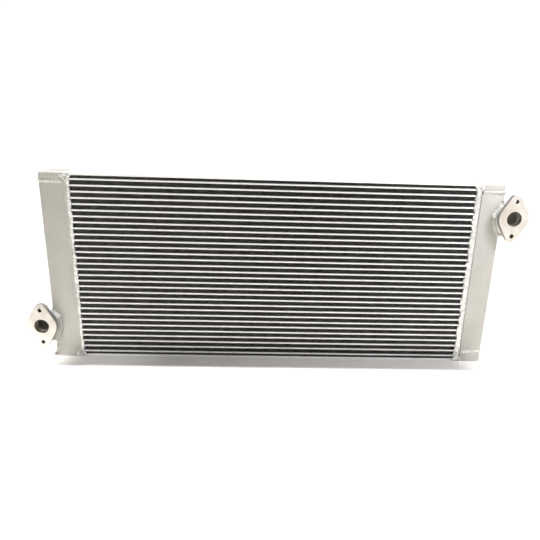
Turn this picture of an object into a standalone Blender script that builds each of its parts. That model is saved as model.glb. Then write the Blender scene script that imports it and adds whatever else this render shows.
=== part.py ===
"""Bar-and-plate hydraulic oil cooler with two header tanks and two bolted oil ports.

The cooler stands on its long edge. X runs along its length, +Y points to the rear
and +Z is up. The origin is the middle of the bottom face. Lengths are written in
millimetres and turned into metres where the meshes are made.
"""
import math

import bmesh
import bpy
from mathutils import Matrix, Vector

MM = 0.001

# ---------------------------------------------------------------- driving sizes
LENGTH = 1000.0          # over the outer sides of both header tanks
TANK_WIDTH = 50.0        # header tank, along X
TANK_DEPTH = 80.0        # header tank, front to rear
CORE_DEPTH = 76.0        # brazed core, front to rear
OIL_LAYERS = 31
LAYER_PITCH = 13.25      # from one oil layer to the next
OIL_PASSAGE = 3.25       # height inside an oil layer
SHEET = 0.6              # parting sheet thickness
EDGE_CHANNEL = 6.0       # the low air channel next to each side plate
SIDE_PLATE = 4.5
GAP = 0.3                # clearance between neighbouring pieces

OIL_BAR_DEPTH = 6.0      # long bar that closes an oil layer, front to rear
HEADER_BAR_WIDTH = 12.0  # bar that closes an air layer at a header tank
FIN_RECESS = 1.5         # fins stop short of the core's front and rear faces
FIN_THICKNESS = 1.0
FIN_WAVES = 8
TURBULATOR_WEBS = 2      # webs inside an oil layer, one body with its tube
WEB_THICKNESS = 5.0

TANK_WALL = 4.0
TANK_CORNER = 3.0        # outside radius of the tank's two long edges
CAP_TOP = 17.0           # height of a top end cap
CAP_BOTTOM = 25.0        # height of a bottom end cap
CAP_PLATE = 5.0

BORE = 32.0              # oil port
BOLT_SPACING = 76.0
BOLT_HOLE = 8.5          # tapped M10
FLANGE_WAIST = 66.0      # width of the flange across its bore
FLANGE_TIP_RADIUS = 14.0
FLANGE_THICKNESS = 12.0
FLANGE_EDGE = 0.8        # chamfer
NECK_FRONT = (30.0, 36.0, 3.5)   # oval at the flange: half width, half height, drop below the bore
NECK_REAR = (34.0, 39.0, 6.0)    # oval from the tank's front face to the elbow's turn
NECK_DEPTH = 30.0        # from the elbow's turn to its rounded rear end
NECK_WALL = 5.0
BRANCH = 30.4            # hole in the tank's outer side, inside the elbow
PORT_OFFSET = 518.0      # from the middle of the cooler to the port's axis
PORT_FACE = 22.5         # sealing face, forward of the tank's front face
PORT_TURN = 20.0         # where the passage turns, behind the tank's front face
LEFT_PORT_HEIGHT = 83.0
RIGHT_PORT_HEIGHT = 352.5

SEAM_HEIGHT = 2.1        # how far a core seam bead stands off what it joins
SEAM_OVERLAP = 0.3       # how deep it is fused into that
CAP_WELD_WIDTH = 9.0
CAP_WELD_HEIGHT = 2.0
PORT_WELD_RADIUS = 3.2

BORE_FACETS = 32
NECK_FACETS = 24
WELD_FACETS = 6
WELD_STEPS = 12          # along each half of the bead round a neck

# ---------------------------------------------------------------- derived sizes
EDGE_TO_OIL = SIDE_PLATE + EDGE_CHANNEL + SHEET + OIL_PASSAGE / 2
HEIGHT = 2 * EDGE_TO_OIL + (OIL_LAYERS - 1) * LAYER_PITCH
TANK_INNER = LENGTH / 2 - TANK_WIDTH
CORE_END = TANK_INNER - GAP
FIN_END = TANK_INNER - HEADER_BAR_WIDTH
HALF_CORE = CORE_DEPTH / 2
HALF_TANK = TANK_DEPTH / 2

BAR_ALUMINIUM = (0.62, 0.62, 0.60)
FIN_ALUMINIUM = (0.34, 0.34, 0.33)
TANK_ALUMINIUM = (0.56, 0.55, 0.51)
FLANGE_ALUMINIUM = (0.72, 0.69, 0.63)
WELD_ALUMINIUM = (0.70, 0.70, 0.68)


def clear_scene():
    for item in list(bpy.data.objects):
        bpy.data.objects.remove(item, do_unlink=True)


def material(name, colour, roughness):
    found = bpy.data.materials.get(name)
    if found:
        return found
    made = bpy.data.materials.new(name)
    made.use_nodes = True
    shader = made.node_tree.nodes["Principled BSDF"]
    shader.inputs["Base Color"].default_value = (*colour, 1.0)
    shader.inputs["Roughness"].default_value = roughness
    shader.inputs["Metallic"].default_value = 1.0
    return made


def finish_node(name, mesh_builder, surface, smooth_angle=None):
    """Turn a bmesh in millimetres into a named object in metres."""
    bmesh.ops.recalc_face_normals(mesh_builder, faces=mesh_builder.faces)
    bmesh.ops.scale(mesh_builder, vec=(MM, MM, MM), verts=mesh_builder.verts)
    mesh = bpy.data.meshes.new(name)
    mesh_builder.to_mesh(mesh)
    mesh_builder.free()
    if smooth_angle is not None:
        mesh.shade_smooth()
        mesh.set_sharp_from_angle(angle=math.radians(smooth_angle))
    mesh.materials.append(surface)
    made = bpy.data.objects.new(name, mesh)
    bpy.context.scene.collection.objects.link(made)
    return made


def add_box(mesh_builder, low, high):
    """Add one closed block between two corners."""
    size = Vector(high) - Vector(low)
    middle = (Vector(high) + Vector(low)) / 2
    place = Matrix.Translation(middle) @ Matrix.Diagonal((*size, 1.0))
    bmesh.ops.create_cube(mesh_builder, size=1.0, matrix=place)


def add_prism(mesh_builder, outline, direction):
    """Extrude a closed outline of points into a solid."""
    start = [mesh_builder.verts.new(point) for point in outline]
    face = mesh_builder.faces.new(start)
    swept = bmesh.ops.extrude_face_region(mesh_builder, geom=[face])
    moved = [item for item in swept["geom"] if isinstance(item, bmesh.types.BMVert)]
    bmesh.ops.translate(mesh_builder, vec=direction, verts=moved)


def add_cylinder(mesh_builder, radius, start, end, facets):
    """Add a closed round bar between two points."""
    start = Vector(start)
    along = Vector(end) - start
    turn = along.to_track_quat("Z", "Y").to_matrix().to_4x4()
    place = Matrix.Translation(start + along / 2) @ turn
    bmesh.ops.create_cone(mesh_builder, cap_ends=True, segments=facets, radius1=radius,
                          radius2=radius, depth=along.length, matrix=place)


def add_sweep(mesh_builder, path, frames, profile, closed):
    """Carry a profile along a path; each frame is the profile's two directions."""
    rings = []
    for point, (across, off) in zip(path, frames):
        ring = [mesh_builder.verts.new(point + across * u + off * v) for u, v in profile]
        rings.append(ring)
    count = len(profile)
    last = len(rings) if closed else len(rings) - 1
    for index in range(last):
        here = rings[index]
        there = rings[(index + 1) % len(rings)]
        for side in range(count):
            after = (side + 1) % count
            mesh_builder.faces.new((here[side], here[after], there[after], there[side]))
    if not closed:
        mesh_builder.faces.new(rings[0])
        mesh_builder.faces.new(list(reversed(rings[-1])))


def cutter(name, mesh_builder):
    """A closed body that only cuts or joins, left out of the model."""
    made = finish_node(name, mesh_builder, material("cutter", BAR_ALUMINIUM, 0.5))
    made.hide_render = True
    made.display_type = "WIRE"
    return made


def apply_boolean(target, tool, operation):
    step = target.modifiers.new(operation.lower(), "BOOLEAN")
    step.operation = operation
    step.solver = "EXACT"
    step.object = tool


def oil_layer_heights():
    return [EDGE_TO_OIL + LAYER_PITCH * index for index in range(OIL_LAYERS)]


def air_channels():
    """Lowest and highest Z of each air channel, from the bottom up."""
    half_layer = OIL_PASSAGE / 2 + SHEET
    edges = [SIDE_PLATE]
    for height in oil_layer_heights():
        edges.append(height - half_layer)
        edges.append(height + half_layer)
    edges.append(HEIGHT - SIDE_PLATE)
    return list(zip(edges[0::2], edges[1::2]))


# ---------------------------------------------------------------- brazed core
def make_side_plates(surface):
    for name, low in (("side_plate_bottom", 0.0), ("side_plate_top", HEIGHT - SIDE_PLATE)):
        build = bmesh.new()
        add_box(build, (-CORE_END, -HALF_CORE, low), (CORE_END, HALF_CORE, low + SIDE_PLATE))
        finish_node(name, build, surface)


def seam_bead(name, side, facing, base_y):
    """Weld bead that runs up the core's end at one tank, on its front or rear face."""
    build = bmesh.new()
    width = HEADER_BAR_WIDTH - 4 * GAP
    middle = side * (TANK_INNER - HEADER_BAR_WIDTH / 2)
    low = SIDE_PLATE + 2 * GAP
    ends = [Vector((middle, base_y, low)), Vector((middle, base_y, HEIGHT - low))]
    frame = (Vector((1.0, 0.0, 0.0)), Vector((0.0, facing, 0.0)))
    add_sweep(build, ends, [frame] * 2, bead_profile(width, SEAM_HEIGHT, 3), False)
    return cutter(name, build)


def make_tube_bank(surface):
    """Every oil layer: two parting sheets, its long bars and webs, joined by the front seams."""
    outer = bmesh.new()
    passages = bmesh.new()
    half = OIL_PASSAGE / 2
    inner_y = HALF_CORE - OIL_BAR_DEPTH
    cells = TURBULATOR_WEBS + 1
    cell = (2 * inner_y - TURBULATOR_WEBS * WEB_THICKNESS) / cells
    for height in oil_layer_heights():
        add_box(outer, (-CORE_END, -HALF_CORE, height - half - SHEET),
                (CORE_END, HALF_CORE, height + half + SHEET))
        for index in range(cells):
            y = -inner_y + index * (cell + WEB_THICKNESS)
            add_box(passages, (-LENGTH / 2, y, height - half), (LENGTH / 2, y + cell, height + half))
    made = finish_node("oil_tube_bank", outer, surface)
    apply_boolean(made, cutter("oil_passages", passages), "DIFFERENCE")
    for side in (-1.0, 1.0):
        bead = seam_bead(f"front_seam_{side:+.0f}", side, -1.0, SEAM_OVERLAP - HALF_CORE)
        apply_boolean(made, bead, "UNION")


def make_header_bars(name, side, surface):
    """The bars that close the air layers at one tank, joined by the rear seam."""
    build = bmesh.new()
    x_pair = sorted((side * FIN_END, side * CORE_END))
    front = -HALF_CORE + SEAM_OVERLAP + GAP
    rear = HALF_CORE + GAP + SEAM_OVERLAP
    for low, high in air_channels():
        add_box(build, (x_pair[0], front, low + GAP), (x_pair[1], rear, high - GAP))
    made = finish_node(name, build, surface)
    apply_boolean(made, seam_bead(f"{name}_seam", side, 1.0, HALF_CORE + GAP), "UNION")


def add_corrugation(build, x_half, y_half, low, high, waves, thickness):
    """A folded sheet whose crests lie alternately under and over its neighbours."""
    folds = 2 * waves
    step = 2 * x_half / folds
    lower = []
    for index in range(folds + 1):
        crest = low if index % 2 == 0 else high - thickness
        lower.append((-x_half + step * index, -y_half, crest))
    upper = [(x, y, z + thickness) for x, y, z in reversed(lower)]
    add_prism(build, lower + upper, (0.0, 2 * y_half, 0.0))


def make_air_fins(surface):
    for number, (low, high) in enumerate(air_channels(), start=1):
        build = bmesh.new()
        add_corrugation(build, FIN_END - GAP, HALF_CORE - FIN_RECESS, low + GAP, high - GAP,
                        FIN_WAVES, FIN_THICKNESS)
        finish_node(f"air_fin_{number:02d}", build, surface)


# ---------------------------------------------------------------- header tanks
def arc(centre, radius, start, end, steps):
    """Points in the XY plane on an arc, angles in degrees."""
    points = []
    for index in range(steps + 1):
        angle = math.radians(start + (end - start) * index / steps)
        points.append((centre[0] + radius * math.cos(angle), centre[1] + radius * math.sin(angle)))
    return points


def tank_profile(side, inset, end_x):
    """U outline of the tank, inset from its outer faces; side is -1 left, +1 right."""
    radius = max(TANK_CORNER - inset, 0.5)
    outer_x = LENGTH / 2 - inset
    outer_y = HALF_TANK - inset
    turn_x = outer_x - radius
    turn_y = outer_y - radius
    points = [(end_x, -outer_y)]
    points += arc((turn_x, -turn_y), radius, -90.0, 0.0, 4)
    points += arc((turn_x, turn_y), radius, 0.0, 90.0, 4)
    points.append((end_x, outer_y))
    return [(side * x, y) for x, y in points]


def tank_shell_outline(side, height):
    outer = tank_profile(side, 0.0, TANK_INNER)
    inner = tank_profile(side, TANK_WALL, TANK_INNER)
    return [(x, y, height) for x, y in outer + list(reversed(inner))]


def make_tank(name, side, port_height, surface):
    low = CAP_BOTTOM + GAP / 2
    high = HEIGHT - CAP_TOP - GAP / 2
    build = bmesh.new()
    add_prism(build, tank_shell_outline(side, low), (0.0, 0.0, high - low))
    made = finish_node(name, build, surface, smooth_angle=40.0)
    hole = bmesh.new()
    y_turn = PORT_TURN - HALF_TANK
    outside = side * (LENGTH / 2 + TANK_WALL)
    inside = side * (LENGTH / 2 - 2 * TANK_WALL)
    add_cylinder(hole, BRANCH / 2, (outside, y_turn, port_height),
                 (inside, y_turn, port_height), NECK_FACETS)
    apply_boolean(made, cutter(f"{name}_hole", hole), "DIFFERENCE")


def make_cap(name, side, low, high, plate_low, surface):
    """End cap: a skirt that carries on the tank's walls, closed by a flat plate."""
    build = bmesh.new()
    add_prism(build, tank_shell_outline(side, low), (0.0, 0.0, high - low))
    made = finish_node(name, build, surface, smooth_angle=40.0)
    plate = bmesh.new()
    outline = [(x, y, plate_low) for x, y in tank_profile(side, 0.0, TANK_INNER)]
    add_prism(plate, outline, (0.0, 0.0, CAP_PLATE))
    apply_boolean(made, cutter(f"{name}_plate", plate), "UNION")


def make_caps(side, word, surface):
    make_cap(f"tank_cap_{word}_bottom", side, 0.0, CAP_BOTTOM - GAP / 2, 0.0, surface)
    make_cap(f"tank_cap_{word}_top", side, HEIGHT - CAP_TOP + GAP / 2, HEIGHT,
             HEIGHT - CAP_PLATE, surface)


# ---------------------------------------------------------------- oil ports
def flange_outline(centre_x, centre_z, y):
    """Two-bolt flange outline: a round waist and two round tips joined by tangents."""
    waist = FLANGE_WAIST / 2
    reach = BOLT_SPACING / 2
    lean = math.degrees(math.asin((waist - FLANGE_TIP_RADIUS) / reach))
    points = []
    for middle, radius, start, end, steps in (
            (0.0, waist, -lean, lean, 6),
            (reach, FLANGE_TIP_RADIUS, lean, 180.0 - lean, 12),
            (0.0, waist, 180.0 - lean, 180.0 + lean, 6),
            (-reach, FLANGE_TIP_RADIUS, 180.0 + lean, 360.0 - lean, 12)):
        points += arc((0.0, middle), radius, start, end, steps)
    return [(centre_x + x, y, centre_z + z) for x, z in points]


def make_flange(name, side, port_height, surface):
    front = -HALF_TANK - PORT_FACE
    build = bmesh.new()
    add_prism(build, flange_outline(side * PORT_OFFSET, port_height, front),
              (0.0, FLANGE_THICKNESS, 0.0))
    made = finish_node(name, build, surface, smooth_angle=40.0)
    edge = made.modifiers.new("edge", "BEVEL")
    edge.width = FLANGE_EDGE * MM
    edge.segments = 1
    edge.limit_method = "ANGLE"
    edge.angle_limit = math.radians(60.0)
    before = front - FLANGE_THICKNESS
    behind = front + 2 * FLANGE_THICKNESS
    holes = bmesh.new()
    add_cylinder(holes, BORE / 2, (side * PORT_OFFSET, before, port_height),
                 (side * PORT_OFFSET, behind, port_height), BORE_FACETS)
    for offset in (-BOLT_SPACING / 2, BOLT_SPACING / 2):
        add_cylinder(holes, BOLT_HOLE / 2, (side * PORT_OFFSET, before, port_height + offset),
                     (side * PORT_OFFSET, behind, port_height + offset), BORE_FACETS // 2)
    apply_boolean(made, cutter(f"{name}_holes", holes), "DIFFERENCE")


def add_elbow(mesh_builder, x, height, front, inset):
    """Oval body that widens from its front to the tank's face and ends in a rounded cap."""
    turn = PORT_TURN - HALF_TANK
    front_wide, front_tall, front_drop = NECK_FRONT
    wide, tall, drop = NECK_REAR
    stations = [(front, front_wide - inset, front_tall - inset, front_drop),
                (-HALF_TANK, wide - inset, tall - inset, drop)]
    steps = NECK_FACETS // 4
    for index in range(steps):
        angle = math.pi / 2 * index / steps
        stations.append((turn + (NECK_DEPTH - inset) * math.sin(angle),
                         (wide - inset) * math.cos(angle), (tall - inset) * math.cos(angle), drop))
    rings = []
    for y, half_width, half_height, lower in stations:
        ring = []
        for index in range(NECK_FACETS):
            angle = math.tau * (index + 0.5) / NECK_FACETS
            z = height - lower + half_height * math.sin(angle)
            ring.append(mesh_builder.verts.new((x + half_width * math.cos(angle), y, z)))
        rings.append(ring)
    mesh_builder.faces.new(rings[0])
    for here, there in zip(rings, rings[1:]):
        for index in range(NECK_FACETS):
            after = (index + 1) % NECK_FACETS
            mesh_builder.faces.new((here[index], here[after], there[after], there[index]))
    mesh_builder.faces.new(list(reversed(rings[-1])))


def make_neck(name, side, port_height, surface):
    """Short cast elbow that sits over the tank's outer front edge, open towards the tank."""
    front = -HALF_TANK - PORT_FACE + FLANGE_THICKNESS + GAP
    x = side * PORT_OFFSET

    build = bmesh.new()
    add_elbow(build, x, port_height, front, 0.0)
    made = finish_node(name, build, surface, smooth_angle=40.0)

    saddle = bmesh.new()
    x_pair = sorted((side * (LENGTH / 2 + GAP), 0.0))
    reach = 2 * NECK_REAR[1]
    add_box(saddle, (x_pair[0], -HALF_TANK - GAP, port_height - reach),
            (x_pair[1], HALF_TANK, port_height + reach))
    apply_boolean(made, cutter(f"{name}_saddle", saddle), "DIFFERENCE")

    cavity = bmesh.new()
    add_elbow(cavity, x, port_height, front + NECK_WALL, NECK_WALL)
    apply_boolean(made, cutter(f"{name}_cavity", cavity), "DIFFERENCE")

    bore = bmesh.new()
    add_cylinder(bore, BORE / 2, (x, front - NECK_WALL, port_height),
                 (x, front + 1.5 * NECK_WALL, port_height), BORE_FACETS)
    apply_boolean(made, cutter(f"{name}_bore", bore), "DIFFERENCE")


# ---------------------------------------------------------------- weld seams
def bead_profile(width, height, steps):
    """Crowned bead: u runs across it and v off the surface."""
    points = []
    for index in range(steps + 1):
        share = index / steps
        u = width * (share - 0.5)
        v = height * (0.35 + 0.65 * math.sin(math.pi * share))
        points.append((u, v))
    return points + [(width / 2, 0.0), (-width / 2, 0.0)]


def make_cap_weld(name, side, height, surface):
    """A bead around the front, outer side and rear of an end cap's joint."""
    build = bmesh.new()
    up = Vector((0.0, 0.0, 1.0))
    outline = tank_profile(side, -GAP, TANK_INNER + GAP)
    path = [Vector((x, y, height)) for x, y in outline]
    frames = []
    for index in range(len(path)):
        before = path[max(index - 1, 0)]
        after = path[min(index + 1, len(path) - 1)]
        frames.append((up, (after - before).normalized().cross(up) * side))
    add_sweep(build, path, frames, bead_profile(CAP_WELD_WIDTH, CAP_WELD_HEIGHT, 3), False)
    finish_node(name, build, surface, smooth_angle=50.0)


def port_weld_path(side, port_height):
    """Closed loop around the neck: over the tank's front face and its outer side."""
    off = PORT_WELD_RADIUS + GAP
    wide, tall, drop = NECK_REAR
    wide += off
    tall += off
    height = port_height - drop
    side_x = LENGTH / 2 + off
    turn_y = PORT_TURN - HALF_TANK
    corner = math.acos((PORT_OFFSET - side_x) / wide)
    points = []
    for index in range(WELD_STEPS + 1):
        angle = corner * (2.0 * index / WELD_STEPS - 1.0)
        x = PORT_OFFSET - wide * math.cos(angle)
        points.append(Vector((side * x, -HALF_TANK - off, height + tall * math.sin(angle))))
    half_height = tall * math.sin(corner)
    depth = (NECK_DEPTH + off) * math.sin(corner)
    for index in range(WELD_STEPS + 1):
        angle = math.pi / 2 * (1.0 - 2.0 * index / WELD_STEPS)
        y = turn_y + depth * math.cos(angle)
        points.append(Vector((side * side_x, y, height + half_height * math.sin(angle))))
    return points


def make_port_weld(name, side, port_height, surface):
    build = bmesh.new()
    path = port_weld_path(side, port_height)
    corner = Vector((side, -1.0, 0.0)).normalized()
    frames = []
    for index, point in enumerate(path):
        along = (path[(index + 1) % len(path)] - path[index - 1]).normalized()
        across = along.cross(corner).normalized()
        frames.append((across, across.cross(along)))
    circle = [(PORT_WELD_RADIUS * math.cos(math.tau * k / WELD_FACETS),
               PORT_WELD_RADIUS * math.sin(math.tau * k / WELD_FACETS))
              for k in range(WELD_FACETS)]
    add_sweep(build, path, frames, circle, True)
    finish_node(name, build, surface, smooth_angle=60.0)


def main():
    clear_scene()
    bars = material("bar_aluminium", BAR_ALUMINIUM, 0.45)
    fins = material("fin_aluminium", FIN_ALUMINIUM, 0.40)
    tanks = material("tank_aluminium", TANK_ALUMINIUM, 0.50)
    flanges = material("flange_aluminium", FLANGE_ALUMINIUM, 0.35)
    welds = material("weld_aluminium", WELD_ALUMINIUM, 0.40)

    make_side_plates(bars)
    make_tube_bank(bars)
    make_header_bars("header_bars_left", -1.0, bars)
    make_header_bars("header_bars_right", 1.0, bars)
    make_air_fins(fins)

    for word, side, port_height in (("left", -1.0, LEFT_PORT_HEIGHT),
                                    ("right", 1.0, RIGHT_PORT_HEIGHT)):
        make_tank(f"header_tank_{word}", side, port_height, tanks)
        make_caps(side, word, tanks)
        make_cap_weld(f"cap_weld_{word}_bottom", side, CAP_BOTTOM, welds)
        make_cap_weld(f"cap_weld_{word}_top", side, HEIGHT - CAP_TOP, welds)
        make_neck(f"port_neck_{word}", side, port_height, tanks)
        make_flange(f"port_flange_{word}", side, port_height, flanges)
        make_port_weld(f"port_weld_{word}", side, port_height, welds)


main()
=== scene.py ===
"""Hydraulic oil cooler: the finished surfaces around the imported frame.

Lengths are in metres. X runs along the cooler, +Y to the rear and +Z up, as in the frame.
"""
import math

import bmesh
import bpy
import numpy as np
from mathutils import Matrix, Vector, noise


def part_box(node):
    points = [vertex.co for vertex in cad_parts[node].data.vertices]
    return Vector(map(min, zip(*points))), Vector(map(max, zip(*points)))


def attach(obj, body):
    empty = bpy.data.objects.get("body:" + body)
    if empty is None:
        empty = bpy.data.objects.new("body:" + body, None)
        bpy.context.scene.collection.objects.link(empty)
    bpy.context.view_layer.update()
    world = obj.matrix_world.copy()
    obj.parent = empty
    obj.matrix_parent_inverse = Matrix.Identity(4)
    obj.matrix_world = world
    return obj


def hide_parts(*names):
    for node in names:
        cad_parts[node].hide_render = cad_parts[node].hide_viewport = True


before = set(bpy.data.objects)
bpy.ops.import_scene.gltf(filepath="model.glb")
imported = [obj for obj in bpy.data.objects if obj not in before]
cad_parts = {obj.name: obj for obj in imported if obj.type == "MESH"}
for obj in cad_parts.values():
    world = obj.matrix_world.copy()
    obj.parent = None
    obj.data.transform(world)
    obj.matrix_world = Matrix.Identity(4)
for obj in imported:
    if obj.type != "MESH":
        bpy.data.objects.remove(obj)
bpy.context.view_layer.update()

MM = 0.001

# ---------------------------------------------------------------- sizes the boxes don't give
GAP = 0.3 * MM              # clearance that the frame keeps between neighbours
SHEET = 0.6 * MM            # parting sheet
OIL_BAR_DEPTH = 6.0 * MM
FIN_SHEET = 0.2 * MM
FIN_WAVE = 4.4 * MM
FIN_CREST = 0.9 * MM
FIN_CHEVRON = 1.6 * MM      # sideways shift of a fin at mid depth
TANK_CORNER = 3.0 * MM      # outside radius of a tank's long edges
BORE = 16.0 * MM            # radius
BOLT_REACH = 38.0 * MM      # from the bore to a bolt hole
THREAD_MINOR = 4.25 * MM    # radii and pitch of an M10 thread
THREAD_MAJOR = 4.9 * MM
THREAD_PITCH = 1.5 * MM
FLANGE_TIP = 14.0 * MM
FLANGE_EDGE = 0.9 * MM
NECK_FRONT = (30.0 * MM, 36.0 * MM, 3.5 * MM)   # oval: half width, half height, drop below the bore
NECK_REAR = (34.0 * MM, 39.0 * MM, 6.0 * MM)
NECK_DEPTH = 30.0 * MM      # from the elbow's turn to its rear end
NECK_WALL = 5.0 * MM
PORT_TURN = 20.0 * MM       # the passage turns this far behind the tank's front face
KNOT_HEIGHT = 17.0 * MM     # where the two beads that end a seam meet, from the core's edge
KNOT_END = 3.2 * MM         # where they end
KNOT_FILL = 4.2 * MM        # the bead that lies between their ends

SPOT_RADIUS = 0.03
ROOM_FRONT = 0.28           # brightness of the studio in front of the cooler and behind it
ROOM_BEHIND = 1.3
ROOM_SIDES = 0.35           # share of the front's brightness that is left at the two sides

SIDES = (("left", -1.0), ("right", 1.0))


def low(node):
    return Vector(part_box(node)[0])


def high(node):
    return Vector(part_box(node)[1])


CORE_X = high("side_plate_bottom").x
CORE_Y = high("side_plate_bottom").y
CORE_TOP = high("side_plate_top").z
FIN_COUNT = sum(name.startswith("air_fin_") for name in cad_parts)
FIN_NODES = [f"air_fin_{number:02d}" for number in range(1, FIN_COUNT + 1)]
CHANNELS = [(low(name).z - GAP, high(name).z + GAP) for name in FIN_NODES]
LAYERS = [(below[1], above[0]) for below, above in zip(CHANNELS, CHANNELS[1:])]
FIN_X = high(FIN_NODES[0]).x + GAP
FIN_Y = high(FIN_NODES[0]).y
TANK_X = high("header_tank_right").x
TANK_INNER = low("header_tank_right").x
TANK_Y = high("header_tank_right").y


# ---------------------------------------------------------------- node materials
class Graph:
    """A material's node tree, with a short call for each kind of node it needs."""

    def __init__(self, name):
        self.material = bpy.data.materials.new(name)
        self.material.use_nodes = True
        self.nodes = self.material.node_tree.nodes
        self.links = self.material.node_tree.links
        self.shader = self.nodes["Principled BSDF"]
        self.place = self.nodes.new("ShaderNodeTexCoord").outputs["Object"]

    def link(self, source, target):
        self.links.new(source, target)

    def mapped(self, scale, turn=(0.0, 0.0, 0.0)):
        node = self.nodes.new("ShaderNodeMapping")
        node.inputs["Scale"].default_value = scale
        node.inputs["Rotation"].default_value = turn
        self.link(self.place, node.inputs["Vector"])
        return node.outputs["Vector"]

    def noise(self, scale, detail=3.0, rough=0.55, place=None, warp=0.0):
        node = self.nodes.new("ShaderNodeTexNoise")
        node.inputs["Scale"].default_value = scale
        node.inputs["Detail"].default_value = detail
        node.inputs["Roughness"].default_value = rough
        node.inputs["Distortion"].default_value = warp
        self.link(place or self.place, node.inputs["Vector"])
        return node.outputs["Fac"]

    def cells(self, scale):
        node = self.nodes.new("ShaderNodeTexVoronoi")
        node.feature = "DISTANCE_TO_EDGE"
        node.inputs["Scale"].default_value = scale
        self.link(self.place, node.inputs["Vector"])
        return node.outputs["Distance"]

    def facing_y(self):
        """How squarely the surface faces the front or the rear, from 0 to 1."""
        source = self.nodes.new("ShaderNodeTexCoord").outputs["Normal"]
        split = self.nodes.new("ShaderNodeSeparateXYZ")
        self.link(source, split.inputs["Vector"])
        return self.math("ABSOLUTE", split.outputs["Y"], 0.0)

    def ranged(self, value, from_low, from_high, to_low, to_high):
        node = self.nodes.new("ShaderNodeMapRange")
        node.inputs["From Min"].default_value = from_low
        node.inputs["From Max"].default_value = from_high
        node.inputs["To Min"].default_value = to_low
        node.inputs["To Max"].default_value = to_high
        self.link(value, node.inputs["Value"])
        return node.outputs["Result"]

    def math(self, kind, first, second):
        node = self.nodes.new("ShaderNodeMath")
        node.operation = kind
        for socket, value in zip(node.inputs, (first, second)):
            if isinstance(value, (int, float)):
                socket.default_value = value
            else:
                self.link(value, socket)
        return node.outputs["Value"]

    def blend(self, share, first, second):
        node = self.nodes.new("ShaderNodeMix")
        node.data_type = "RGBA"
        self.link(share, node.inputs[0])
        for socket, value in zip((node.inputs[6], node.inputs[7]), (first, second)):
            if isinstance(value, tuple):
                socket.default_value = (*value, 1.0)
            else:
                self.link(value, socket)
        return node.outputs[2]

    def bump(self, height, distance, strength=1.0, below=None):
        node = self.nodes.new("ShaderNodeBump")
        node.inputs["Distance"].default_value = distance
        node.inputs["Strength"].default_value = strength
        self.link(height, node.inputs["Height"])
        if below is not None:
            self.link(below, node.inputs["Normal"])
        return node.outputs["Normal"]

    def finish(self, colour, roughness, normal, metallic=1.0):
        self.shader.inputs["Metallic"].default_value = metallic
        self.link(colour, self.shader.inputs["Base Color"])
        self.link(roughness, self.shader.inputs["Roughness"])
        self.link(normal, self.shader.inputs["Normal"])
        return self.material


def rolled_sheet(name, tone, dull, stretch, metallic, rough_low=0.40, rough_high=0.56):
    """Rolled aluminium plate: streaks along the rolling direction, clouding and fine grain."""
    graph = Graph(name)
    streak = graph.noise(1.0, 4.0, 0.6, graph.mapped(stretch))
    cloud = graph.noise(11.0, 5.0, 0.6, warp=0.6)
    grain = graph.noise(1400.0, 2.0)
    scuff = graph.ranged(graph.noise(46.0, 6.0, 0.7, warp=1.4), 0.56, 0.72, 0.0, 1.0)
    share = graph.math("ADD", graph.math("MULTIPLY", cloud, 0.7), graph.math("MULTIPLY", streak, 0.3))
    colour = graph.blend(graph.ranged(share, 0.34, 0.66, 0.0, 1.0), dull, tone)
    worn = graph.blend(graph.math("MULTIPLY", scuff, 0.35), colour, tuple(min(1.0, c * 1.1) for c in tone))
    rough = graph.ranged(share, 0.3, 0.7, rough_high, rough_low)
    waves = graph.bump(graph.noise(7.0, 2.0), 0.0016)
    lines = graph.bump(streak, 0.00004, 0.8, waves)
    normal = graph.bump(grain, 0.00003, 0.7, lines)
    return graph.finish(worn, rough, normal, metallic)


def bar_metal():
    """Extruded and brazed bar stock: bright, with faint flux marks along its length."""
    graph = Graph("bar_metal")
    along = graph.noise(1.0, 5.0, 0.6, graph.mapped((26.0, 300.0, 420.0)))
    flux = graph.ranged(graph.noise(120.0, 4.0, 0.65, warp=0.8), 0.55, 0.75, 0.0, 0.5)
    colour = graph.blend(graph.ranged(along, 0.3, 0.7, 0.0, 1.0), (0.70, 0.70, 0.68), (0.84, 0.84, 0.82))
    stained = graph.blend(flux, colour, (0.46, 0.45, 0.43))
    rough = graph.ranged(along, 0.3, 0.7, 0.46, 0.3)
    normal = graph.bump(along, 0.00008, 0.8, graph.bump(graph.noise(900.0, 2.0), 0.00003))
    return graph.finish(stained, rough, normal, 0.4)


def fin_painted_shade_metal():
    """Thin rolled strip, dulled and slightly darkened by the brazing furnace, and painted far darker still
    as painted shade for the deep air channels.
    """
    graph = Graph("fin_painted_shade_metal")
    cloud = graph.noise(60.0, 4.0, 0.6)
    # painted shade: these near-black tones stand in for the shade inside the air channels
    colour = graph.blend(graph.ranged(cloud, 0.35, 0.65, 0.0, 1.0), (0.14, 0.14, 0.135), (0.22, 0.22, 0.21))
    rough = graph.ranged(cloud, 0.3, 0.7, 0.5, 0.36)
    normal = graph.bump(graph.noise(700.0, 2.0), 0.00003)
    return graph.finish(colour, rough, normal, 0.6)


def weld_metal(name, dull, tone, most_soot, metallic):
    """Cast weld metal: bright crests, soot in the hollows and a crystalline skin."""
    graph = Graph(name)
    soot = graph.ranged(graph.noise(300.0, 4.0, 0.65, warp=0.6), 0.5, 0.62, 0.0, most_soot)
    tint = graph.noise(110.0, 3.0)
    colour = graph.blend(graph.ranged(tint, 0.38, 0.62, 0.0, 1.0), dull, tone)
    sooty = graph.blend(soot, colour, (0.40, 0.39, 0.37))
    rough = graph.ranged(soot, 0.0, 0.9, 0.34, 0.55)
    coarse = graph.bump(graph.noise(420.0, 3.0), 0.0003, 0.9)
    normal = graph.bump(graph.cells(900.0), 0.00006, 0.6, coarse)
    return graph.finish(sooty, rough, normal, metallic)


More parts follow.
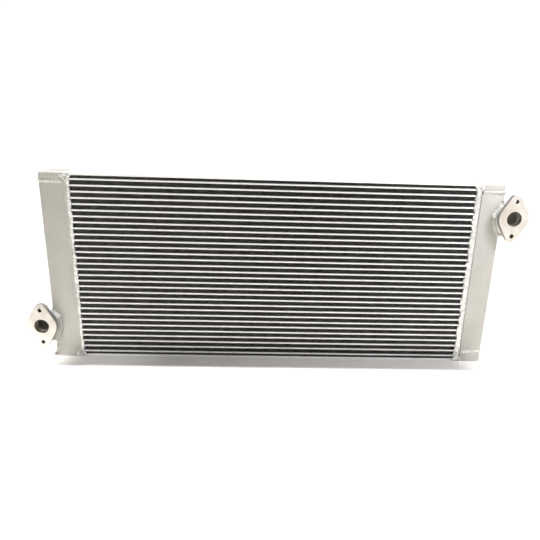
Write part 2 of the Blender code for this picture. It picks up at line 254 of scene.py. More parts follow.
def cast_metal():
    """Sand-cast aluminium neck: pebbled skin, dull enough to show its shape."""
    graph = Graph("cast_metal")
    cloud = graph.noise(40.0, 5.0, 0.6)
    colour = graph.blend(graph.ranged(cloud, 0.35, 0.65, 0.0, 1.0), (0.58, 0.57, 0.53), (0.68, 0.67, 0.63))
    rough = graph.ranged(cloud, 0.3, 0.7, 0.58, 0.42)
    pebble = graph.bump(graph.noise(520.0, 4.0, 0.65), 0.00025, 0.8)
    return graph.finish(colour, rough, pebble, 0.4)


def machined_metal():
    """Flange: milled bright on its two faces, and darker round its sides."""
    graph = Graph("machined_metal")
    marks = graph.noise(1.0, 2.0, 0.5, graph.mapped((1500.0, 60.0, 60.0), (0.0, 0.5, 0.0)))
    cloud = graph.noise(55.0, 4.0, 0.6, warp=0.5)
    patches = graph.ranged(cloud, 0.35, 0.68, 0.0, 1.0)
    milled = graph.blend(patches, (0.51, 0.47, 0.41), (0.61, 0.585, 0.545))
    # the sides get a darker grey than the two faces
    skin = graph.blend(graph.noise(90.0, 4.0, 0.6), (0.27, 0.27, 0.25), (0.38, 0.37, 0.35))
    facing = graph.ranged(graph.facing_y(), 0.6, 0.9, 0.0, 1.0)
    colour = graph.blend(facing, skin, milled)
    rough = graph.ranged(cloud, 0.3, 0.7, 0.5, 0.38)
    normal = graph.bump(marks, 0.00003, 0.6, graph.bump(graph.noise(1100.0, 2.0), 0.00002))
    return graph.finish(colour, rough, normal, 0.7)


def bored_metal(name, dark, light):
    """Wall of a hole: turned, with an oily film; for the tapped holes the near-black tones passed in are
    painted shade.
    """
    graph = Graph(name)
    rings = graph.noise(1.0, 3.0, 0.5, graph.mapped((40.0, 1800.0, 40.0)))
    film = graph.noise(120.0, 4.0, 0.6)
    colour = graph.blend(graph.ranged(film, 0.35, 0.65, 0.0, 1.0), dark, light)
    rough = graph.ranged(film, 0.3, 0.7, 0.5, 0.34)
    return graph.finish(colour, rough, graph.bump(rings, 0.00004))


ROLLED_ALONG_X = (6.0, 420.0, 420.0)    # noise scale: stretched along the rolling direction
ROLLED_UPRIGHT = (420.0, 420.0, 6.0)

METALS = {
    "bar": bar_metal(),
    "fin": fin_painted_shade_metal(),
    "plate": rolled_sheet("plate_metal", (0.86, 0.85, 0.83), (0.76, 0.75, 0.73), ROLLED_ALONG_X, 0.1),
    "sheet": rolled_sheet("sheet_metal", (0.40, 0.40, 0.39), (0.30, 0.30, 0.29), ROLLED_ALONG_X, 0.5),
    "tank": rolled_sheet("tank_metal", (0.455, 0.445, 0.41), (0.405, 0.395, 0.36), ROLLED_UPRIGHT, 0.3,
                         rough_low=0.5, rough_high=0.64),
    "weld": weld_metal("weld_metal", (0.54, 0.54, 0.51), (0.80, 0.80, 0.78), 0.95, 0.6),
    # painted highlight: a near-white weld for the upper port beads, standing in for light from above
    "thick_painted_light_weld": weld_metal("thick_weld_metal", (0.74, 0.74, 0.71), (0.95, 0.95, 0.93), 0.5, 0.2),
    "dull_weld": weld_metal("dull_weld_metal", (0.44, 0.44, 0.41), (0.60, 0.60, 0.57), 0.35, 0.5),
    "cast": cast_metal(),
    "machined": machined_metal(),
    "bored": bored_metal("bored_metal", (0.50, 0.43, 0.36), (0.70, 0.62, 0.53)),
    # painted shade: near-black thread walls for the shade inside the bolt holes
    "tapped": bored_metal("tapped_painted_shade_metal", (0.06, 0.055, 0.05), (0.14, 0.13, 0.11)),
}


# ---------------------------------------------------------------- mesh helpers
def piece(name, mesh, metal, *nodes, smooth=None):
    """Link a mesh as a piece that rides on the frame and stands for the given CAD nodes."""
    if smooth is not None:
        mesh.shade_smooth()
        mesh.set_sharp_from_angle(angle=math.radians(smooth))
    mesh.materials.clear()
    mesh.materials.append(METALS[metal])
    made = bpy.data.objects.new(name, mesh)
    bpy.context.scene.collection.objects.link(made)
    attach(made, "root")
    if nodes:
        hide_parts(*nodes)
    return made


def mesh_from(name, points, faces):
    mesh = bpy.data.meshes.new(name)
    mesh.from_pydata([tuple(p) for p in points], [], [tuple(f) for f in faces])
    mesh.validate()
    build = bmesh.new()
    build.from_mesh(mesh)
    bmesh.ops.recalc_face_normals(build, faces=build.faces)
    build.to_mesh(mesh)
    build.free()
    return mesh


def tube_faces(rings, around, closed, first=0):
    """Quads between rings of points, with flat ends where the tube is open."""
    ring = np.arange(around)
    after = (ring + 1) % around
    faces = []
    for here in range(rings if closed else rings - 1):
        there = (here + 1) % rings
        a = first + here * around
        b = first + there * around
        faces += np.stack([a + ring, a + after, b + after, b + ring], 1).tolist()
    if not closed:
        faces.append([first + int(i) for i in ring[::-1]])
        faces.append([first + (rings - 1) * around + int(i) for i in ring])
    return faces


def rounded_rectangle(x_low, x_high, y_low, y_high, radius, steps):
    """Outline of a rectangle with round corners, counter-clockwise."""
    points = []
    left, right = x_low + radius, x_high - radius
    lower, upper = y_low + radius, y_high - radius
    corners = ((right, upper, 0.0), (left, upper, 90.0), (left, lower, 180.0), (right, lower, 270.0))
    for cx, cy, start in corners:
        for step in range(steps + 1):
            angle = math.radians(start + 90.0 * step / steps)
            points.append((cx + radius * math.cos(angle), cy + radius * math.sin(angle)))
    return points


def drop_cutters(*tools):
    for tool in tools:
        bpy.data.objects.remove(tool, do_unlink=True)


def carve(name, base, steps):
    """Boolean the tools into the base mesh, in order, and return the result as a new mesh."""
    body = bpy.data.objects.new(name, base)
    bpy.context.scene.collection.objects.link(body)
    tools = []
    for operation, mesh in steps:
        tool = bpy.data.objects.new(f"{name}_tool", mesh)
        bpy.context.scene.collection.objects.link(tool)
        cut = body.modifiers.new("cut", "BOOLEAN")
        cut.operation = operation
        cut.solver = "EXACT"
        cut.object = tool
        tools.append(tool)
    seen = body.evaluated_get(bpy.context.evaluated_depsgraph_get())
    result = bpy.data.meshes.new_from_object(seen)
    drop_cutters(body, *tools)
    return result


def revolve(name, origin, axis, profile, steps):
    """Closed solid turned about an axis; the profile is (distance along, radius) pairs."""
    turn = Vector(axis).to_track_quat("Z", "Y").to_matrix()
    points = []
    for along, radius in profile:
        for step in range(steps):
            angle = math.tau * (step + 0.5) / steps
            local = Vector((radius * math.cos(angle), radius * math.sin(angle), along))
            points.append(Vector(origin) + turn @ local)
    return mesh_from(name, points, tube_faces(len(profile), steps, False))


def block(name, corner_low, corner_high):
    build = bmesh.new()
    size = Vector(corner_high) - Vector(corner_low)
    middle = (Vector(corner_high) + Vector(corner_low)) / 2
    bmesh.ops.create_cube(build, matrix=Matrix.Translation(middle) @ Matrix.Diagonal((*size, 1.0)))
    mesh = bpy.data.meshes.new(name)
    build.to_mesh(mesh)
    build.free()
    return mesh


def softened(node, metal, edge):
    """A CAD node's own shape with its sharp edges eased, as a piece in its place."""
    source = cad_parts[node].data.copy()
    build = bmesh.new()
    build.from_mesh(source)
    bmesh.ops.remove_doubles(build, verts=build.verts, dist=0.00001)
    bmesh.ops.dissolve_limit(build, angle_limit=math.radians(2.0), verts=build.verts, edges=build.edges)
    build.to_mesh(source)
    build.free()
    holder = bpy.data.objects.new(f"{node}_edge", source)
    bpy.context.scene.collection.objects.link(holder)
    ease = holder.modifiers.new("edge", "BEVEL")
    ease.width = edge
    ease.segments = 3
    ease.limit_method = "ANGLE"
    ease.angle_limit = math.radians(40.0)
    seen = holder.evaluated_get(bpy.context.evaluated_depsgraph_get())
    mesh = bpy.data.meshes.new_from_object(seen)
    drop_cutters(holder)
    return piece(f"{node}_shell", mesh, metal, node, smooth=35.0)


# ---------------------------------------------------------------- core
def wavy_strip(outline, x_low, x_high, z_mid, sway, steps, seed):
    """Points of a bar along X whose YZ outline drifts a little in height."""
    points = []
    for step in range(steps):
        x = x_low + (x_high - x_low) * step / (steps - 1)
        drift = sway * noise.noise(Vector((x * 9.0, seed * 7.3, 0.0)))
        points += [(x, y, z_mid + z + drift) for y, z in outline]
    return points


def make_layers():
    """The long bars and the parting sheets of every oil layer."""
    steps = 36
    groups = {"oil_bars_front": [], "oil_bars_rear": [], "parting_sheets": []}
    for number, (bottom, top) in enumerate(LAYERS):
        middle = (bottom + top) / 2
        half = (top - bottom) / 2
        inner = half - SHEET
        set_back = 0.12 * MM * noise.noise(Vector((number * 3.1, 5.0, 0.0)))
        for name, face, inward in (("oil_bars_front", -CORE_Y, 1.0), ("oil_bars_rear", CORE_Y, -1.0)):
            outer_y = face + inward * (0.15 * MM + set_back)
            y_pair = sorted((outer_y, face + inward * OIL_BAR_DEPTH))
            outline = rounded_rectangle(*y_pair, -inner, inner, 0.5 * MM, 2)
            groups[name].append((outline, middle, number))
        for offset in (-half + SHEET / 2, half - SHEET / 2):
            outline = rounded_rectangle(-CORE_Y, CORE_Y, -SHEET / 2, SHEET / 2, 0.12 * MM, 1)
            groups["parting_sheets"].append((outline, middle + offset, number))
    for name, bars in groups.items():
        points = []
        faces = []
        for outline, middle, number in bars:
            faces += tube_faces(steps, len(outline), False, len(points))
            points += wavy_strip(outline, -CORE_X, CORE_X, middle, 0.12 * MM, steps, number)
        metal = "sheet" if name == "parting_sheets" else "bar"
        piece(name, mesh_from(name, points, faces), metal, "oil_tube_bank", smooth=40.0)


def make_header_bars():
    for word, side in SIDES:
        points = []
        faces = []
        x_pair = sorted((side * (FIN_X + 1.0 * MM), side * CORE_X))
        for bottom, top in CHANNELS:
            outline = rounded_rectangle(-CORE_Y + 0.2 * MM, CORE_Y - 0.2 * MM, bottom, top, 0.4 * MM, 2)
            faces += tube_faces(2, len(outline), False, len(points))
            points += [(x, y, z) for x in x_pair for y, z in outline]
        name = f"header_bars_{word}"
        piece(f"end_bars_{word}", mesh_from(name, points, faces), "bar", name, smooth=40.0)


def offset_line(line, distance):
    """A polyline moved sideways by distance, mitred at its corners."""
    along = np.diff(line, axis=0)
    along /= np.linalg.norm(along, axis=1)[:, None]
    normals = np.stack([-along[:, 1], along[:, 0]], 1)
    before = np.vstack([normals[:1], normals])
    after = np.vstack([normals, normals[-1:]])
    mitre = (before + after) / (1.0 + (before * after).sum(1))[:, None]
    return line + mitre * distance


def make_fins():
    """One folded strip in each air channel, creased sideways at mid depth."""
    waves = int(2 * FIN_X / FIN_WAVE)
    wave = 2 * FIN_X / (waves + 0.5)
    depths = ((-FIN_Y, 0.0), (0.0, FIN_CHEVRON), (FIN_Y, 0.0))
    for number, (name, (bottom, top)) in enumerate(zip(FIN_NODES, CHANNELS)):
        rng = np.random.default_rng(100 + number)
        start = -FIN_X + 0.4 * MM + wave * 0.25 * rng.random()
        base = start + wave * np.arange(waves)
        jitter = rng.normal(0.0, 0.10 * MM, (waves, 2))
        rise = base + wave / 2 + jitter[:, 0]
        fall = base + jitter[:, 1]
        lower = bottom + FIN_SHEET / 2
        upper = top - FIN_SHEET / 2
        line = np.stack([
            np.stack([fall, fall + FIN_CREST, rise, rise + FIN_CREST], 1).ravel(),
            np.tile([lower, lower, upper, upper], waves)], 1)
        faces_of_strip = [offset_line(line, FIN_SHEET / 2), offset_line(line, -FIN_SHEET / 2)[::-1]]
        outline = np.vstack(faces_of_strip)
        rings = [np.stack([outline[:, 0] + shift, np.full(len(outline), y), outline[:, 1]], 1)
                 for y, shift in depths]
        count = len(line)
        around = len(outline)
        faces = tube_faces(len(rings), around, False)[:-2]
        for first, order in ((0, 1), ((len(rings) - 1) * around, -1)):
            for index in range(count - 1):
                pair = (index, index + 1, around - 2 - index, around - 1 - index)
                faces.append([first + i for i in pair][::order])
        mesh = mesh_from(name, np.vstack(rings), faces)
        piece(f"fin_strip_{number + 1:02d}", mesh, "fin", name)


# ---------------------------------------------------------------- welds
def resample(points, step, closed):
    """Evenly spaced points along a line of points."""
    line = np.array([tuple(p) for p in points])
    if closed:
        line = np.vstack([line, line[:1]])
    lengths = np.concatenate([[0.0], np.cumsum(np.linalg.norm(np.diff(line, axis=0), axis=1))])
    count = max(4, int(lengths[-1] / step))
    at = np.linspace(0.0, lengths[-1], count + 1)
    if closed:
        at = at[:-1]
    return np.stack([np.interp(at, lengths, line[:, axis]) for axis in range(3)], 1), at


def weld_bead(name, points, lifts, width, height, seed, *nodes, closed=False, pitch=3.4 * MM, lumps=0.16,
              wander=0.0, metal="weld"):
    """Rippled bead along a line; lifts say which way is off the surface at each point."""
    around = 14
    path, at = resample(points, pitch / 6, closed)
    source = np.array([tuple(p) for p in points])
    lift_rows = np.array([tuple(v) for v in lifts])
    nearest = ((path[:, None, :] - source[None, :, :]) ** 2).sum(2).argmin(1)
    off = lift_rows[nearest]
    if len(set(map(tuple, lift_rows.round(4)))) > 1:
        for _ in range(6):
            off = off + np.roll(off, 1, 0) + np.roll(off, -1, 0) if closed else off
    off /= np.linalg.norm(off, axis=1)[:, None]
    if closed:
        along = np.roll(path, -1, 0) - np.roll(path, 1, 0)
    else:
        along = np.gradient(path, axis=0)
    along /= np.linalg.norm(along, axis=1)[:, None]
    across = np.cross(along, off)
    across /= np.linalg.norm(across, axis=1)[:, None]
    rng = np.random.default_rng(seed)
    ripples = int(at[-1] / pitch) + 3
    grow = 1.0 + lumps * rng.normal(0.0, 1.0, (ripples, 3)).clip(-1.8, 1.8)
    shift = lumps * width * 0.35 * rng.normal(0.0, 1.0, ripples).clip(-1.5, 1.5)
    angle = math.tau * (np.arange(around) + 0.5) / around
    u = np.cos(angle)
    v = np.sin(angle)
    phase = at[:, None] / pitch + 0.55 * (u ** 2)[None, :]
    index = phase.astype(int).clip(0, ripples - 1)
    share = phase - index
    scale = 0.86 + 0.26 * np.sin(math.pi * share ** 0.75)
    steady = grow[(index + 1) % ripples] * share[..., None] + grow[index] * (1 - share[..., None])
    side = np.where(v > 0, v * height * scale * steady[..., 0], v * 0.0008)
    reach = u * width / 2 * (0.94 + 0.10 * scale) * steady[..., 1] + shift[index] * 0.5
    drift = [wander * noise.noise(Vector((distance * 60.0, seed * 3.7, 0.0))) for distance in at]
    reach = reach + 2.0 * np.array(drift)[:, None]
    rows = path[:, None, :] + across[:, None, :] * reach[..., None] + off[:, None, :] * side[..., None]
    faces = tube_faces(len(path), around, closed)
    return piece(name, mesh_from(name, rows.reshape(-1, 3), faces), metal, *nodes, smooth=60.0)


def make_core_seams():
    """The upright welds between the core's ends and the tanks, with the short beads that end them."""
    shapes = {"left": (2.4 * MM, 7.0 * MM, 1.9 * MM), "right": (3.7 * MM, 10.4 * MM, 2.3 * MM)}
    for word, side in SIDES:
        offset, width, crown = shapes[word]
        for number, (place, facing) in enumerate((("front", -1.0), ("rear", 1.0))):
            lift = [(0.0, facing, 0.0)] * 2
            seed = 10 + number + int(side)
            x = side * (FIN_X + offset)
            line = [(x, facing * CORE_Y, 1.0 * MM), (x, facing * CORE_Y, CORE_TOP - 1.0 * MM)]
            weld_bead(f"{place}_seam_{word}", line, lift, width, crown, seed,
                      pitch=6.6 * MM, lumps=0.26, wander=0.5 * MM)
            make_tacks(f"{place}_tacks_{word}", side, facing, seed)
            if word == "left":
                x = side * (TANK_INNER - 2.6 * MM)
                y = facing * (TANK_Y - 1.4 * MM)
                line = [(x, y, 1.0 * MM), (x, y, CORE_TOP - 1.0 * MM)]
                weld_bead(f"{place}_toe_{word}", line, lift, 9.0 * MM, 1.1 * MM, seed + 40,
                          pitch=9.0 * MM, lumps=0.15, wander=0.6 * MM, metal="tank")
            face = facing * (CORE_Y + 0.6 * MM)
            for end, edge, inward in (("bottom", 0.0, 1.0), ("top", CORE_TOP, -1.0)):
                meet = (side * (FIN_X + 5.0 * MM), face, edge + inward * KNOT_HEIGHT)
                for part, reach in (("outer", TANK_INNER + 3.0 * MM), ("inner", FIN_X - 3.0 * MM)):
                    line = [meet, (side * reach, face + facing * 0.6 * MM, edge + inward * KNOT_END)]
                    weld_bead(f"{place}_knot_{word}_{end}_{part}", line, lift, 5.6 * MM, 2.2 * MM,
                              seed + 60, pitch=4.0 * MM, lumps=0.25)
                y = face - facing * 0.3 * MM
                z = edge + inward * KNOT_FILL
                line = [(side * (FIN_X + 1.0 * MM), y, z), (side * (TANK_INNER - 1.0 * MM), y, z)]
                weld_bead(f"{place}_fill_{word}_{end}", line, lift, 6.0 * MM, 1.6 * MM, seed + 80,
                          pitch=4.0 * MM, lumps=0.2)


def make_tacks(name, side, facing, seed):
    """Weld metal that has run a little way out along each bar from the seam."""
    rng = np.random.default_rng(seed + 200)
    points = []
    faces = []
    around = 10
    rooted = 1.5 * MM               # start of each run inside the seam
    shares = (0.0, 0.35, 0.7, 0.92, 1.0)
    for bottom, top in LAYERS:
        middle = (bottom + top) / 2
        reach = rng.uniform(1.6, 3.4) * MM
        half = (top - bottom) / 2 + rng.uniform(0.2, 0.9) * MM
        sag = rng.uniform(-0.5, 0.5) * MM
        faces += tube_faces(len(shares), around, False, len(points))
        for share in shares:
            x = side * (FIN_X + rooted - (reach + rooted) * share)
            swell = math.sqrt(max(0.0, 1.0 - share ** 3)) + 0.02
            for step in range(around):
                angle = math.tau * (step + 0.5) / around
                proud = 0.9 * MM * swell * max(math.sin(angle), -0.3)
                points.append((x, facing * (CORE_Y - 0.2 * MM + proud),
                               middle + sag + half * swell * math.cos(angle)))
    piece(name, mesh_from(name, points, faces), "weld", smooth=60.0)


def tank_line(side, height):
    """Front, outer side and rear of a tank at one height, with its round corners."""
    radius = TANK_CORNER
    cx = TANK_X - radius
    points = [(TANK_INNER + 1.0 * MM, -TANK_Y)]
    for cy, start in ((-TANK_Y + radius, -90.0), (TANK_Y - radius, 0.0)):
        for step in range(9):
            angle = math.radians(start + 90.0 * step / 8)
            points.append((cx + radius * math.cos(angle), cy + radius * math.sin(angle)))
    points.append((TANK_INNER + 1.0 * MM, TANK_Y))
    return [Vector((side * x, y, height)) for x, y in points]


def make_cap_welds():
    """Beads where the end caps join the tanks; the upper right one stands proudest."""
    beads = {("left", "bottom"): (0.7, "tank"), ("left", "top"): (1.5, "dull_weld"),
             ("right", "bottom"): (1.3, "dull_weld"), ("right", "top"): (2.3, "tank")}
    for number, ((word, end), (crown, metal)) in enumerate(beads.items()):
        node = f"cap_weld_{word}_{end}"
        side = -1.0 if word == "left" else 1.0
        height = (low(node).z + high(node).z) / 2
        line = tank_line(side, height)
        dense = []
        for here, there in zip(line, line[1:]):
            dense += [here.lerp(there, step / 8) for step in range(8)]
        dense.append(line[-1])
        lifts = []
        for point in dense:
            outward = Vector((point.x - side * (TANK_X - TANK_CORNER), 0.0, 0.0))
            flat_y = TANK_Y - TANK_CORNER
            outward.y = point.y - max(-flat_y, min(flat_y, point.y))
            outward.x = outward.x if side * outward.x > 0 else 0.0
            lifts.append(outward.normalized())
        weld_bead(f"cap_bead_{word}_{end}", dense, lifts, 8.5 * MM, crown * MM, 30 + number, node,
                  pitch=3.0 * MM, lumps=0.18, metal=metal)


# ---------------------------------------------------------------- tanks and ports
def make_tanks():
    for word, _ in SIDES:
        softened(f"header_tank_{word}", "tank", 0.8 * MM)
        for end in ("bottom", "top"):
            softened(f"tank_cap_{word}_{end}", "tank", 0.8 * MM)
    for end in ("bottom", "top"):
        softened(f"side_plate_{end}", "plate", 0.6 * MM)


def flange_ring(waist, tip):
    """Two-bolt flange outline in X and Z: round waist and tips joined by tangents."""
    lean = math.degrees(math.asin((waist - tip) / BOLT_REACH))
    points = []
    for middle, radius, start, end, steps in (
            (0.0, waist, -lean, lean, 16),
            (BOLT_REACH, tip, lean, 180.0 - lean, 24),
            (0.0, waist, 180.0 - lean, 180.0 + lean, 16),
            (-BOLT_REACH, tip, 180.0 + lean, 360.0 - lean, 24)):
        for step in range(steps + 1):
            angle = math.radians(start + (end - start) * step / steps)
            points.append((radius * math.cos(angle), middle + radius * math.sin(angle)))
    return points


def drill(name, centre, front, back, radius, edge, steps, thread=None):
    """Cutter for a through hole with a small chamfer at both faces, tapped if a thread is given."""
    length = back - front
    profile = [(-edge, radius + 2 * edge), (edge, radius)]
    if thread:
        depth, pitch = thread
        along = 2 * edge
        while along + pitch < length - edge:
            profile += [(along, radius), (along + pitch / 2, radius + depth)]
            along += pitch
    profile += [(length - edge, radius), (length + edge, radius + 2 * edge)]
    return revolve(name, (centre[0], front, centre[1]), (0.0, 1.0, 0.0), profile, steps)


def make_flange(word):
    node = f"port_flange_{word}"
    front, back = low(node).y, high(node).y
    centre = ((low(node).x + high(node).x) / 2, (low(node).z + high(node).z) / 2)
    waist = (high(node).x - low(node).x) / 2
    rounding = 4
    rings = []
    for face, inward in ((front, 1.0), (back, -1.0)):
        turned = []
        for step in range(rounding + 1):
            angle = math.pi / 2 * step / rounding
            cut = FLANGE_EDGE * (1.0 - math.sin(angle))
            y = face + inward * FLANGE_EDGE * (1.0 - math.cos(angle))
            outline = flange_ring(waist - cut, FLANGE_TIP - cut)
            turned.append([(centre[0] + x, y, centre[1] + z) for x, z in outline])
        rings += turned if inward > 0 else turned[::-1]
    around = len(rings[0])
    body = mesh_from(node, [p for ring in rings for p in ring], tube_faces(len(rings), around, False))
    steps = [("DIFFERENCE", drill("bore", centre, front, back, BORE, 0.5 * MM, 96))]
    thread = (THREAD_MAJOR - THREAD_MINOR, THREAD_PITCH)
    for reach in (-BOLT_REACH, BOLT_REACH):
        hole = (centre[0], centre[1] + reach)
        steps.append(("DIFFERENCE", drill("bolt", hole, front, back, THREAD_MINOR, 0.35 * MM, 40, thread)))
    mesh = carve(node, body, steps)
    piece(f"flange_{word}", mesh, "machined", node, smooth=30.0)
    mesh.materials.append(METALS["bored"])
    mesh.materials.append(METALS["tapped"])
    for face in mesh.polygons:
        x = face.center.x - centre[0]
        z = face.center.z - centre[1]
        if abs(face.normal.y) < 0.9:
            if math.hypot(x, z) < BORE + 0.2 * MM:
                face.material_index = 1
            # the bolt holes' walls take the near-black painted-shade metal
            elif math.hypot(x, abs(z) - BOLT_REACH) < THREAD_MAJOR + 0.6 * MM:
                face.material_index = 2
    return centre, back


def elbow(name, centre, front, inset):
    """Oval body that widens from the flange to the tank's face and ends in a rounded cap."""
    x, z = centre
    turn = PORT_TURN - TANK_Y
    steps = 64
    stations = []
    for step in range(9):
        share = step / 8
        ease = share * share * (3.0 - 2.0 * share)
        shape = [a + (b - a) * ease for a, b in zip(NECK_FRONT, NECK_REAR)]
        stations.append((front + (-TANK_Y - front) * share, *shape))
    wide, tall, drop = NECK_REAR
    for step in range(16):
        angle = math.pi / 2 * step / 16
        along = turn + (NECK_DEPTH - inset) * math.sin(angle)
        shrink = math.cos(angle)
        stations.append((along, inset + (wide - inset) * shrink, inset + (tall - inset) * shrink, drop))
    points = []
    for y, half_width, half_height, lower in stations:
        for step in range(steps):
            angle = math.tau * (step + 0.5) / steps
            points.append((x + (half_width - inset) * math.cos(angle), y,
                           z - lower + (half_height - inset) * math.sin(angle)))
    return mesh_from(name, points, tube_faces(len(stations), steps, False))


def make_neck(word, side, centre, start):
    """Cast elbow from the back of the flange over the tank's outer front edge, open to the tank."""
    node = f"port_neck_{word}"
    x, z = centre
    outer = elbow(node, centre, start, 0.0)
    cavity = elbow("cavity", centre, start + NECK_WALL, NECK_WALL)
    x_pair = sorted((side * TANK_X, 0.0))
    reach = 2 * NECK_REAR[1]
    saddle = block("saddle", (x_pair[0], -TANK_Y, z - reach), (x_pair[1], TANK_Y, z + reach))
    bore = revolve("bore", (x, start - NECK_WALL, z), (0.0, 1.0, 0.0),
                   ((0.0, BORE), (2.5 * NECK_WALL, BORE)), 96)
    mesh = carve(node, outer, (("DIFFERENCE", saddle), ("DIFFERENCE", cavity), ("DIFFERENCE", bore)))
    piece(f"neck_{word}", mesh, "cast", node, smooth=35.0)


def make_port_welds(word, side, centre, start):
    """Fillet bead round the neck on the tank, and a small one behind the flange."""
    x, z = centre
    sunk = 1.2 * MM
    wide, tall, drop = NECK_REAR
    wide += sunk
    tall += sunk
    height = z - drop
    side_x = TANK_X + sunk
    corner = math.acos((side * x - side_x) / wide)
    slant = math.sqrt(0.5)
    depth = (NECK_DEPTH + sunk) * math.sin(corner)
    half_height = tall * math.sin(corner)

    def on_front(angle):
        radial = Vector((-side * math.cos(angle), 0.0, math.sin(angle)))
        point = Vector((x - side * wide * math.cos(angle), -TANK_Y - sunk, height + tall * math.sin(angle)))
        return point, radial * slant + Vector((0.0, -slant, 0.0))

    def on_side(angle):
        radial = Vector((0.0, math.cos(angle), math.sin(angle)))
        point = Vector((side * side_x, PORT_TURN - TANK_Y + depth * math.cos(angle),
                        height + half_height * math.sin(angle)))
        return point, radial * slant + Vector((side * slant, 0.0, 0.0))

    # the upper run is thick and painted near white as a painted highlight for the light from above; the
    # lower one is painted the tank's grey as painted shade on its underside
    split = math.radians(30.0 if word == "left" else 8.0)
    overlap = math.radians(4.0)
    upper = [on_front(split + (corner - split) * step / 24) for step in range(25)]
    upper += [on_side(math.pi / 2 * (1.0 - step / 30)) for step in range(31)]
    lower = [on_front(split + overlap - (corner + split + overlap) * step / 36) for step in range(37)]
    lower += [on_side(-math.pi / 2 * (1.0 - step / 30)) for step in range(31)]
    for run, line, width, crown, metal, lumps in (("upper", upper, 13.0, 5.6, "thick_painted_light_weld", 0.24),
                                                  ("lower", lower, 10.0, 3.6, "tank", 0.12)):
        weld_bead(f"port_bead_{word}_{run}", [point for point, _ in line], [lift for _, lift in line],
                  width * MM, crown * MM, 50 + int(side), f"port_weld_{word}", pitch=6.4 * MM, lumps=lumps,
                  metal=metal)
    wide, tall, drop = NECK_FRONT
    points = []
    lifts = []
    for step in range(64):
        angle = math.tau * step / 64
        radial = Vector((math.cos(angle), 0.0, math.sin(angle)))
        points.append(Vector((x + (wide - 0.4 * MM) * math.cos(angle), start + 0.5 * MM,
                              z - drop + (tall - 0.4 * MM) * math.sin(angle))))
        lifts.append(radial * slant + Vector((0.0, slant, 0.0)))
    weld_bead(f"flange_bead_{word}", points, lifts, 4.0 * MM, 1.4 * MM, 60 + int(side), closed=True,
              pitch=3.0 * MM, metal="cast")


def make_ports():
    for word, side in SIDES:
        centre, back = make_flange(word)
        make_neck(word, side, centre, back)
        make_port_welds(word, side, centre, back)


# ---------------------------------------------------------------- studio
def make_floor():
    graph = Graph("studio_floor")
    cloud = graph.noise(3.0, 3.0)
    colour = graph.blend(graph.ranged(cloud, 0.3, 0.7, 0.0, 1.0), (0.70, 0.68, 0.645), (0.73, 0.71, 0.675))
    rough = graph.ranged(cloud, 0.3, 0.7, 0.75, 0.85)
    surface = graph.finish(colour, rough, graph.bump(graph.noise(300.0), 0.00005), 0.0)
    mesh = bpy.data.meshes.new("floor")
    reach = 30.0
    corners = [(-reach, -reach, 0), (reach, -reach, 0), (reach, reach, 0), (-reach, reach, 0)]
    mesh.from_pydata(corners, [], [(0, 1, 2, 3)])
    mesh.materials.append(surface)
    floor = bpy.data.objects.new("floor", mesh)
    bpy.context.scene.collection.objects.link(floor)


def softbox(name, place, target, size, power, tint=(1.0, 1.0, 1.0)):
    light = bpy.data.lights.new(name, "AREA")
    light.shape = "RECTANGLE"
    light.size, light.size_y = size
    light.energy = power
    light.color = tint
    made = bpy.data.objects.new(name, light)
    made.location = place
    made.rotation_euler = (Vector(target) - Vector(place)).to_track_quat("-Z", "Y").to_euler()
    bpy.context.scene.collection.objects.link(made)


def spot(name, place, target, power, cone, blend):
    light = bpy.data.lights.new(name, "SPOT")
    light.energy = power
    light.spot_size = math.radians(cone)
    light.spot_blend = blend
    light.shadow_soft_size = SPOT_RADIUS
    made = bpy.data.objects.new(name, light)
    made.location = place
    made.rotation_euler = (Vector(target) - Vector(place)).to_track_quat("-Z", "Y").to_euler()
    bpy.context.scene.collection.objects.link(made)


def sun(name, place, strength, spread):
    """Distant light that shines from place towards the cooler."""
    light = bpy.data.lights.new(name, "SUN")
    light.energy = strength
    light.angle = math.radians(spread)
    made = bpy.data.objects.new(name, light)
    made.location = place
    made.rotation_euler = (-Vector(place)).to_track_quat("-Z", "Y").to_euler()
    bpy.context.scene.collection.objects.link(made)


def make_world():
    """White behind the cooler, and a dimmer room in front of it."""
    world = bpy.data.worlds.new("studio")
    world.use_nodes = True
    nodes = world.node_tree.nodes
    links = world.node_tree.links
    room = nodes["Background"]
    white = nodes.new("ShaderNodeBackground")
    white.inputs["Color"].default_value = (1.0, 1.0, 1.0, 1.0)
    white.inputs["Strength"].default_value = 1.1
    split = nodes.new("ShaderNodeSeparateXYZ")
    links.new(nodes.new("ShaderNodeTexCoord").outputs["Generated"], split.inputs["Vector"])
    shades = []
    for axis, dark, light, amount in (("X", 0.85, 0.55, 1.0), ("Y", 0.1, 0.5, ROOM_BEHIND - ROOM_FRONT)):
        side = nodes.new("ShaderNodeMath")
        side.operation = "ABSOLUTE" if axis == "X" else "ADD"
        side.inputs[1].default_value = 0.0
        links.new(split.outputs[axis], side.inputs[0])
        shade = nodes.new("ShaderNodeMapRange")
        shade.inputs["From Min"].default_value = dark
        shade.inputs["From Max"].default_value = light
        shade.inputs["To Min"].default_value = ROOM_SIDES if axis == "X" else 0.0
        shade.inputs["To Max"].default_value = amount
        links.new(side.outputs["Value"], shade.inputs["Value"])
        shades.append(shade.outputs["Result"])
    total = nodes.new("ShaderNodeMath")
    total.operation = "MULTIPLY_ADD"
    total.inputs[1].default_value = ROOM_FRONT
    links.new(shades[0], total.inputs[0])
    links.new(shades[1], total.inputs[2])
    links.new(total.outputs["Value"], room.inputs["Strength"])
    seen = nodes.new("ShaderNodeLightPath")
    mix = nodes.new("ShaderNodeMixShader")
    links.new(seen.outputs["Is Camera Ray"], mix.inputs["Fac"])
    links.new(room.outputs["Background"], mix.inputs[1])
    links.new(white.outputs["Background"], mix.inputs[2])
    links.new(mix.outputs["Shader"], nodes["World Output"].inputs["Surface"])
    bpy.context.scene.world = world


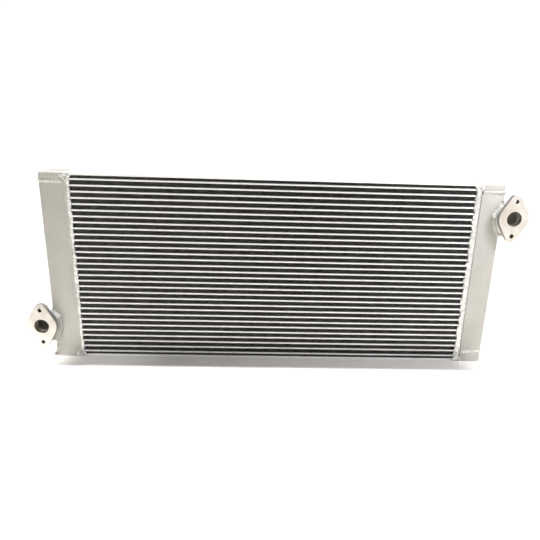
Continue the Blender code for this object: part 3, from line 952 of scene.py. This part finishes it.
def make_lights():
    make_world()
    sun("overhead", (0.0, 0.125, 1.0), 7.4, 3.0)
    softbox("left_front", (-1.4, -1.9, 1.5), (-0.2, 0.0, 0.2), (1.2, 1.0), 13.8, (1.0, 0.985, 0.95))
    softbox("right_front", (1.6, -1.9, 1.4), (0.35, 0.0, 0.25), (1.2, 0.8), 3.5, (0.84, 0.93, 1.0))
    softbox("upper_right", (0.80, -0.42, 0.75), (0.5, 0.0, 0.4), (0.22, 0.22), 5.8, (0.96, 0.95, 1.0))
    for name, side, target, power in (("left_foot", -1.0, 0.568, 30.0), ("right_foot", 1.0, 0.556, 18.0)):
        spot(name, (side * 0.77, -0.42, 0.49), (side * target, -0.08, 0.0), power, 16.0, 0.2)
    spot("left_strip", (-0.60, -0.52, 0.60), (-0.40, -0.06, 0.0), 8.0, 22.0, 1.0)


def make_camera():
    """Eye level a little above the cooler's top, almost square to its front."""
    place = Vector((-0.0127, -1.1128, 0.5468))
    pan, tilt, roll = (math.radians(angle) for angle in (2.353, 16.917, 1.865))
    forward = Vector((math.sin(pan) * math.cos(tilt), math.cos(pan) * math.cos(tilt), -math.sin(tilt)))
    right = Vector((math.cos(pan), -math.sin(pan), 0.0))
    up = right.cross(forward)
    rolled_right = right * math.cos(roll) + up * math.sin(roll)
    rolled_up = up * math.cos(roll) - right * math.sin(roll)
    camera = bpy.data.cameras.new("camera")
    camera.sensor_width = 36.0
    camera.lens = 33.26
    camera.shift_x = -0.033
    made = bpy.data.objects.new("camera", camera)
    made.matrix_world = Matrix((
        (rolled_right.x, rolled_up.x, -forward.x, place.x),
        (rolled_right.y, rolled_up.y, -forward.y, place.y),
        (rolled_right.z, rolled_up.z, -forward.z, place.z),
        (0.0, 0.0, 0.0, 1.0)))
    bpy.context.scene.collection.objects.link(made)
    bpy.context.scene.camera = made
    bpy.context.scene.view_settings.view_transform = "Standard"


make_camera()
make_layers()
make_header_bars()
make_fins()
make_core_seams()
make_tanks()
make_cap_welds()
make_ports()
make_floor()
make_lights()
